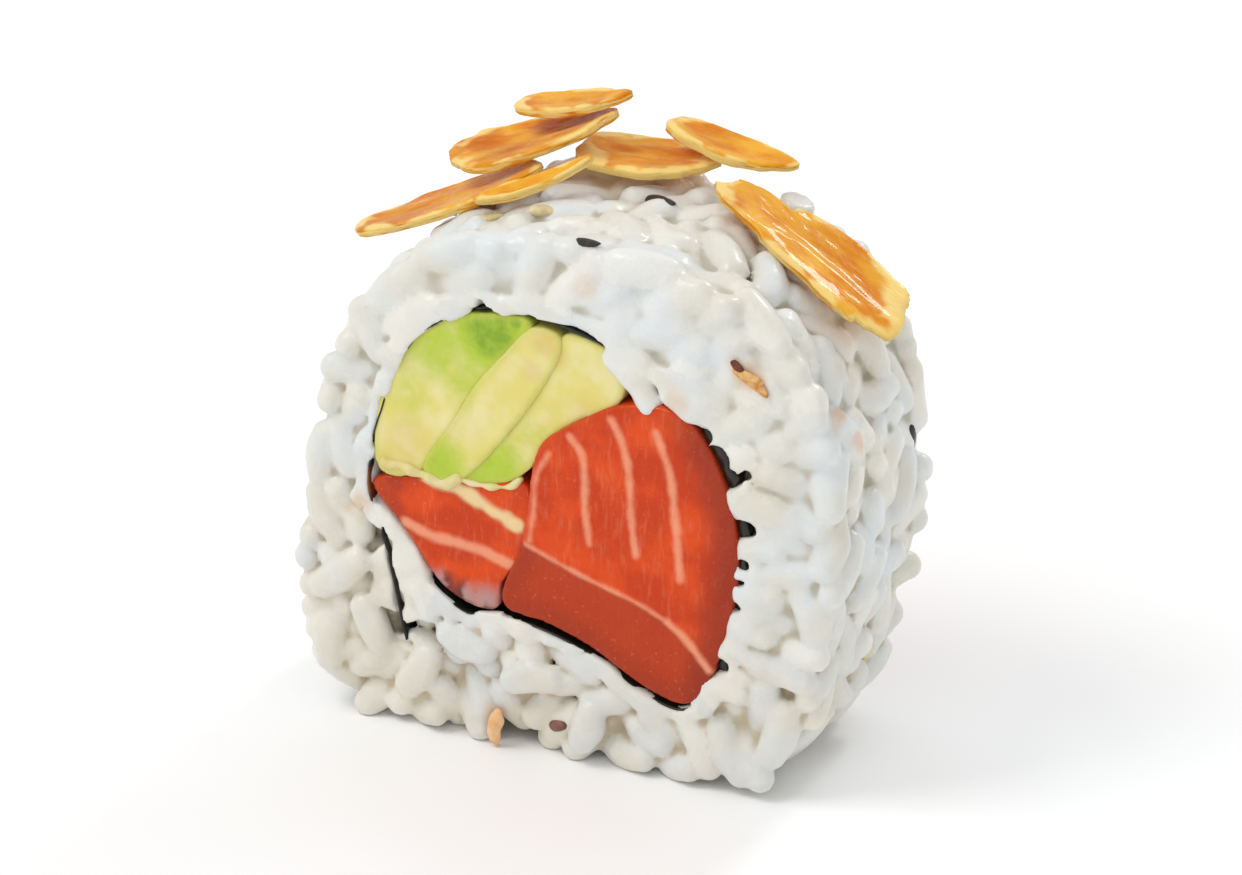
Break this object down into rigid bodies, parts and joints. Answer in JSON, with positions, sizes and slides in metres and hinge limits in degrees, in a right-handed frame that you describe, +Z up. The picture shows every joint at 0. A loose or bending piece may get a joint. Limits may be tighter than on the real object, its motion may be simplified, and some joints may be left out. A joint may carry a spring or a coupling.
{
  "type": "uramaki roll piece",
  "caption": "Cut piece of an inside-out sushi roll: rice outside, nori round salmon and avocado, topped with toasted almond flakes and sesame.",
  "frame": {"origin": "on the table, under the middle of the slice, on the flat foot that it rests on", "axes": "+Z up, +Y along the roll away from the viewer of the front cut face, +X to that viewer's right"},
  "size_m": [0.0507, 0.021, 0.0521],
  "materials": {
    "rice": "cooked short-grain rice, moist and slightly translucent",
    "nori": "damp toasted seaweed sheet, nearly black",
    "avocado": "ripe avocado flesh, pale yellow going to green",
    "salmon": "raw salmon, orange with pale fat lines, wet",
    "almond": "toasted almond flake, amber with a paler rim"
  },
  "bodies": {
    "root": {"rice": "rice", "nori": "nori", "avocado_slice_left": "avocado", "avocado_slice_middle": "avocado", "avocado_slice_right": "avocado", "salmon_block": "salmon", "salmon_strip": "salmon", "almond_flake_light": "almond", "almond_flake_thin": "almond", "almond_flake_hero": "almond", "almond_flake_low_left": "almond", "almond_flake_upper_left": "almond", "almond_flake_top_left": "almond", "almond_flake_stick": "almond"}
  },
  "joints": []
}
